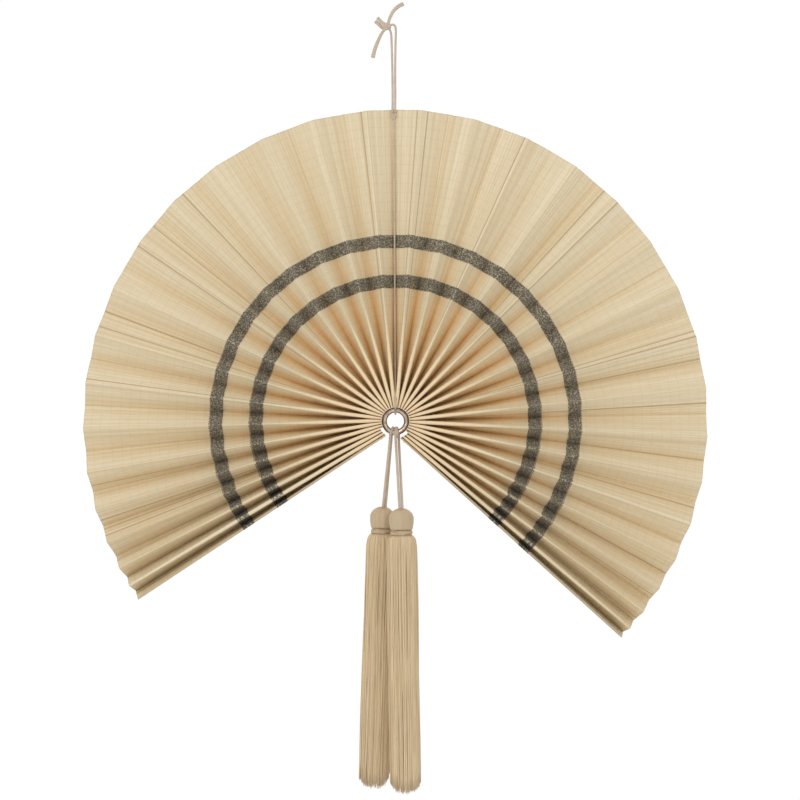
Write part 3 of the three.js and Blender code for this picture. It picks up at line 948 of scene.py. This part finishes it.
HEAD_RADIUS = 13.9
HEAD_HEIGHT = 24
HEAD_BASE_RADIUS = 12.2
COLLAR_WRAPS = 2
COLLAR_WRAP_RADIUS = 1.6
NECK_RADIUS = 9.4
NECK_FILL_RADIUS = 11.4
SKIRT_RADIUS = 17.3
SKIRT_FLATNESS = 0.72
PART_GAP = 0.3
COLLAR_TOP = -HEAD_HEIGHT - PART_GAP


def hung(tassel, points):
    """Points of a tassel's own upright frame, in millimetres from the top of its head, in place."""
    lean = math.radians(tassel["lean"])
    x, y, z = np.moveaxis(np.asarray(points, float), -1, 0)
    c, s = math.cos(lean), math.sin(lean)
    place = np.stack([x * c + z * s, y, z * c - x * s], -1)
    return (place + [tassel["head_x"], tassel["depth"], tassel["head_top"]]) * MM + HUB


HEAD_YARNS = 84
HEAD_SIDES_PER_YARN = 4
HEAD_ROWS = 26
HEAD_GROOVE = 0.12


def make_head(tassel):
    """The head: yarns laid side by side over a ball, and gathered at the top and at the neck."""
    around = HEAD_YARNS * HEAD_SIDES_PER_YARN
    base = math.acos(HEAD_BASE_RADIUS / HEAD_RADIUS)
    rise = np.linspace(-base, math.pi / 2 - 0.05, HEAD_ROWS)
    height = HEAD_HEIGHT / 2 * np.where(rise < 0, np.sin(rise) / math.sin(base), np.sin(rise))
    turn = even_turns(around)
    rounding = np.abs(np.sin(turn * HEAD_YARNS / 2))
    groove = HEAD_GROOVE * (1 - rounding)[None, :] * np.cos(rise)[:, None] ** 0.5
    wave = 0.12 * np.sin(7 * turn)[None, :] + 0.1 * np.sin(13 * turn + 1)[None, :]
    reach = HEAD_RADIUS * np.cos(rise)[:, None] - groove + wave * np.cos(rise)[:, None]
    height = np.broadcast_to(height[:, None], reach.shape)
    points = np.stack([reach * np.cos(turn), reach * np.sin(turn), height], -1)
    points[..., 2] -= HEAD_HEIGHT / 2
    points = np.concatenate([points.reshape(-1, 3), [[0, 0, -HEAD_HEIGHT], [0, 0, -0.4]]])
    tones = np.clip(random.normal(0.6, 0.07, HEAD_YARNS), 0.1, 1).repeat(HEAD_SIDES_PER_YARN)
    tones = np.concatenate([np.tile(tones, HEAD_ROWS - 1), np.full(2 * around, 0.3)])
    count = HEAD_ROWS * around
    face_groups = (
        grid_faces(HEAD_ROWS, around, closed=True),
        cap_faces(around, 0, count, flip=True),
        cap_faces(around, count - around, count + 1),
    )
    parts = MeshParts()
    parts.add(hung(tassel, points), face_groups, strand_tone=tones)
    made = parts.make(f"head_{tassel['name']}", [YARN])
    point_values(made, "strand_drop", points[:, 2] * MM)
    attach(made, f"tassel_{tassel['name']}")
    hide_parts(f"tassel_head_{tassel['name']}")


COLLAR_TURNS = 2.15
COLLAR_START = -2.2
COLLAR_PITCH = 8 * MM


def make_collar(tassel):
    """Cord wound twice round the neck."""
    share = np.linspace(0, 1, 150)
    angle = COLLAR_START + 2 * math.pi * COLLAR_TURNS * share
    reach = NECK_RADIUS + PART_GAP + COLLAR_WRAP_RADIUS * 0.8
    height = COLLAR_TOP - COLLAR_WRAP_RADIUS - share * 2 * COLLAR_WRAP_RADIUS * 0.98
    line = np.stack([reach * np.cos(angle), reach * np.sin(angle) * SKIRT_FLATNESS, height], -1)
    name = tassel["name"]
    look = {"pitch": COLLAR_PITCH, "material": COLLAR_CORD}
    wrap = hung(tassel, line)
    made = make_cord(f"collar_{name}", wrap, COLLAR_WRAP_RADIUS * MM, f"tassel_{name}", **look)
    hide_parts(f"tassel_collar_{name}")


# The skirt's outer radius at each drop below the neck.
SKIRT_DROPS = (0, 1, 3, 6, 12, 30, 1000)
SKIRT_RADII = (12.4, 13.8, 15.5, 16.4, 17, SKIRT_RADIUS, SKIRT_RADIUS)
# The yarns hang in layers, each at a share of that radius and with its own number of yarns.
SKIRT_LAYERS = ((0.965, 150), (0.90, 130), (0.80, 90))
SKIRT_NECK = COLLAR_TOP - 2 * COLLAR_WRAPS * COLLAR_WRAP_RADIUS - 2 * PART_GAP
YARN_END_ROUNDING = 10
YARN_STEPS = 20
SKIRT_YARN_SIDES = 5
SHOULDER_DROPS = (-0.6, 1, 3, 6, 12)
CORE_NECK_DROPS = (-9.0, 0.9, 1.0, 3.0, 6.0)
CORE_ROWS = 24
CORE_SIDES = 40
CORE_SHARE = 0.76


def skirt_reach(drop):
    """The skirt's outer radius at a drop below the neck."""
    return np.interp(drop, SKIRT_DROPS, SKIRT_RADII)


def add_skirt_yarn(parts, tassel, length, turn, layer):
    """One hanging yarn. Gives back how far below the neck each of its vertices is."""
    reach = layer + random.uniform(-0.03, 0.02)
    rounding = YARN_END_ROUNDING * math.cos(turn) ** 4
    end = length - rounding - abs(random.normal(0, 3)) - random.uniform(0, 2)
    lower = np.linspace(24, end, YARN_STEPS - len(SHOULDER_DROPS))
    drop = np.concatenate([SHOULDER_DROPS, lower])
    sway = random.normal(0, 0.03, 3)
    shape = sway[0] * np.sin(drop / 46 + 6 * sway[1]) + sway[2] * (drop / length) ** 2
    turned = turn + shape
    radius = skirt_reach(drop) * reach + 0.5 * np.sin(drop / 31 + 9 * turn) * (drop > 10)
    across, depth = radius * np.cos(turned), radius * np.sin(turned) * SKIRT_FLATNESS
    line = np.stack([across, depth, SKIRT_NECK - drop], -1)
    thick = random.uniform(0.42, 0.62) * MM
    taper = np.where(np.arange(YARN_STEPS) == YARN_STEPS - 1, 0.45, 1.0)
    tone = float(np.clip(random.normal(0.6, 0.2), 0.09, 1))
    if random.random() < 0.03:
        tone = 0.02
    add_tube(parts, hung(tassel, line), thick * taper, around=SKIRT_YARN_SIDES, strand_tone=tone)
    return [*np.repeat(drop, SKIRT_YARN_SIDES), 0, end]


def add_skirt_core(parts, tassel, length):
    """The filling of the skirt and the neck, a surface for the hidden inner yarns in a dark tone that is
    painted shade inside the skirt. Gives back each vertex's drop, as a yarn does.
    """
    turn = even_turns(CORE_SIDES)
    lower = np.linspace(12, length - 20, CORE_ROWS - len(CORE_NECK_DROPS))
    drop = np.concatenate([CORE_NECK_DROPS, lower])
    radius = np.where(drop < 1, NECK_FILL_RADIUS, skirt_reach(drop) * CORE_SHARE)[:, None]
    across, depth = radius * np.cos(turn), radius * np.sin(turn) * SKIRT_FLATNESS
    height = np.broadcast_to(SKIRT_NECK - drop[:, None], across.shape)
    core = hung(tassel, np.stack([across, depth, height], -1))
    faces = grid_faces(CORE_ROWS, CORE_SIDES, closed=True, flip=True)
    # The core's low tone paints it dark, as shade inside the skirt.
    parts.add(core, [faces], strand_tone=0.09)
    return np.repeat(drop, CORE_SIDES).tolist()


def make_skirt(tassel):
    """The skirt: a few hundred hanging yarns round a core."""
    length = tassel["skirt"] - (COLLAR_TOP - SKIRT_NECK)
    parts, drops = MeshParts(), []
    for layer, count in SKIRT_LAYERS:
        for k in range(count):
            turn = 2 * math.pi * (k + random.uniform(-0.4, 0.4)) / count
            drops += add_skirt_yarn(parts, tassel, length, turn, layer)
    drops += add_skirt_core(parts, tassel, length)
    name = tassel["name"]
    made = parts.make(f"skirt_{name}", [YARN])
    point_values(made, "strand_drop", -(np.array(drops) + HEAD_HEIGHT) * MM)
    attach(made, f"tassel_{name}")
    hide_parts(f"tassel_skirt_{name}")


for tassel in TASSELS:
    make_head(tassel)
    make_collar(tassel)
    make_skirt(tassel)

# ------------------------------ floor and light

FLOOR_HEIGHT = -1.0
FLOOR_RADIUS = 1.0
FLOOR_SIDES = 96
LIGHTS_FACE = (0.0, 0.0, -0.42)


def make_floor():
    """A plain pale disc under the fan."""
    parts = MeshParts()
    turn = even_turns(FLOOR_SIDES)
    height = np.full(FLOOR_SIDES, FLOOR_HEIGHT)
    edge = np.stack([np.cos(turn) * FLOOR_RADIUS, np.sin(turn) * FLOOR_RADIUS, height], -1)
    parts.add(edge, [[np.arange(FLOOR_SIDES)]])
    pale = Surface("floor_pale", (0.86, 0.86, 0.85), 0.8)
    parts.make("floor", [pale.material], smooth=False)


def make_light(name, place, size, watts):
    """A square soft light that faces the middle of the fan."""
    data = bpy.data.lights.new(name, "AREA")
    data.size = size
    data.energy = watts
    made = bpy.data.objects.new(name, data)
    made.location = place
    towards = Vector(LIGHTS_FACE) - Vector(place)
    made.rotation_euler = towards.to_track_quat("-Z", "Y").to_euler()
    bpy.context.scene.collection.objects.link(made)


def make_world():
    """White all round, brightest behind the fan."""
    world = bpy.data.worlds.new("studio")
    world.use_nodes = True
    nodes, links = world.node_tree.nodes, world.node_tree.links
    split = nodes.new("ShaderNodeSeparateXYZ")
    links.new(nodes.new("ShaderNodeTexCoord").outputs["Generated"], split.inputs[0])
    bright = nodes.new("ShaderNodeMapRange")
    bright.interpolation_type = "SMOOTHSTEP"
    for key, value in (("From Min", 0.86), ("From Max", 0.97), ("To Min", 0.78), ("To Max", 1.02)):
        bright.inputs[key].default_value = value
    links.new(split.outputs["Y"], bright.inputs["Value"])
    links.new(bright.outputs[0], nodes["Background"].inputs["Strength"])
    nodes["Background"].inputs["Color"].default_value = (1, 1, 1, 1)
    bpy.context.scene.world = world


make_floor()
make_light("key", (-0.85, -2.9, 0.75), 1.8, 21)
make_light("back", (0.4, 2.6, 1.2), 2.0, 12)
make_world()
bpy.context.scene.view_settings.view_transform = "Standard"
